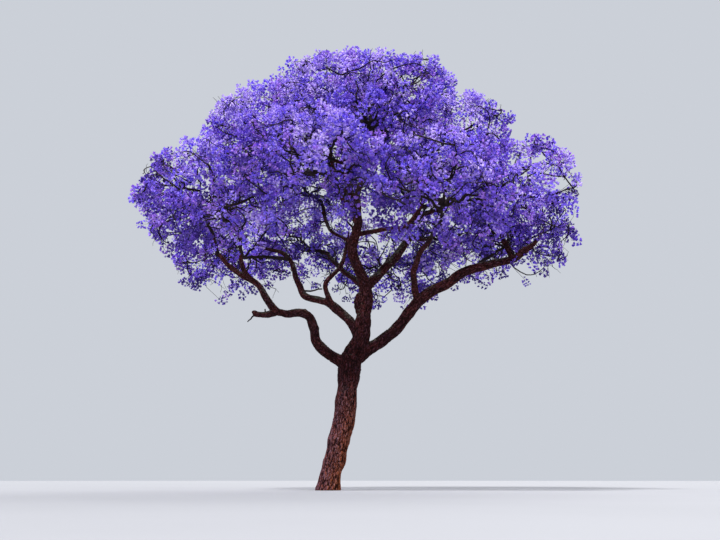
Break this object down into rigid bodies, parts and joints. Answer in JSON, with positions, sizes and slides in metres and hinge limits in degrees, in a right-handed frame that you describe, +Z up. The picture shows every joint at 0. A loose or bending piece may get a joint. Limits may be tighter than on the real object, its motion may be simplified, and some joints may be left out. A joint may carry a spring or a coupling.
{
  "type": "jacaranda tree",
  "caption": "Whole flowering street tree: one leaning trunk forks into crooked bare boughs that carry a wide, rounded umbrella crown of violet blossom with no leaves.",
  "frame": {"origin": "middle of the flat cut under the trunk, at ground level", "axes": "+Z up; +X the way the trunk leans and the longest bough reaches; +Y away from the side on which that bough is seen on the right"},
  "size_m": [12.2203, 11.9611, 11.758],
  "materials": {
    "bark": "deeply fissured plates, reddish brown, with grey-green lichen on the upper sides of limbs",
    "blossom": "matt violet-blue petals on thin dark twigs"
  },
  "bodies": {
    "root": {"trunk": "bark", "central_stem": "bark", "right_bough_low": "bark", "right_bough_high": "bark", "right_shoot": "bark", "left_bough_low": "bark", "left_bough_high": "bark", "left_riser": "bark", "mid_left_bough": "bark", "mid_left_outer": "bark", "mid_left_inner": "bark", "front_bough_low": "bark", "front_bough_high": "bark", "front_right_branch": "bark", "leader": "bark", "back_right_low": "bark", "back_right_high": "bark", "back_bough_low": "bark", "back_left_bough": "bark", "back_mid_bough": "bark", "outer_limb_2": "bark", "outer_limb_7": "bark", "outer_limb_8": "bark", "outer_limb_9": "bark", "middle_limb_2": "bark", "middle_limb_3": "bark", "middle_limb_4": "bark", "middle_limb_5": "bark", "middle_limb_7": "bark", "top_limb_1": "bark", "top_limb_2": "bark", "top_limb_3": "bark", "top_limb_4": "bark", "outer_blossom_1": "blossom", "outer_blossom_2": "blossom", "outer_blossom_3": "blossom", "outer_blossom_4": "blossom", "outer_blossom_5": "blossom", "outer_blossom_6": "blossom", "outer_blossom_7": "blossom", "outer_blossom_8": "blossom", "outer_blossom_9": "blossom", "outer_blossom_10": "blossom", "middle_blossom_1": "blossom", "middle_blossom_2": "blossom", "middle_blossom_3": "blossom", "middle_blossom_4": "blossom", "middle_blossom_5": "blossom", "middle_blossom_6": "blossom", "middle_blossom_7": "blossom", "top_blossom_1": "blossom", "top_blossom_2": "blossom", "top_blossom_3": "blossom", "top_blossom_4": "blossom"}
  },
  "joints": []
}
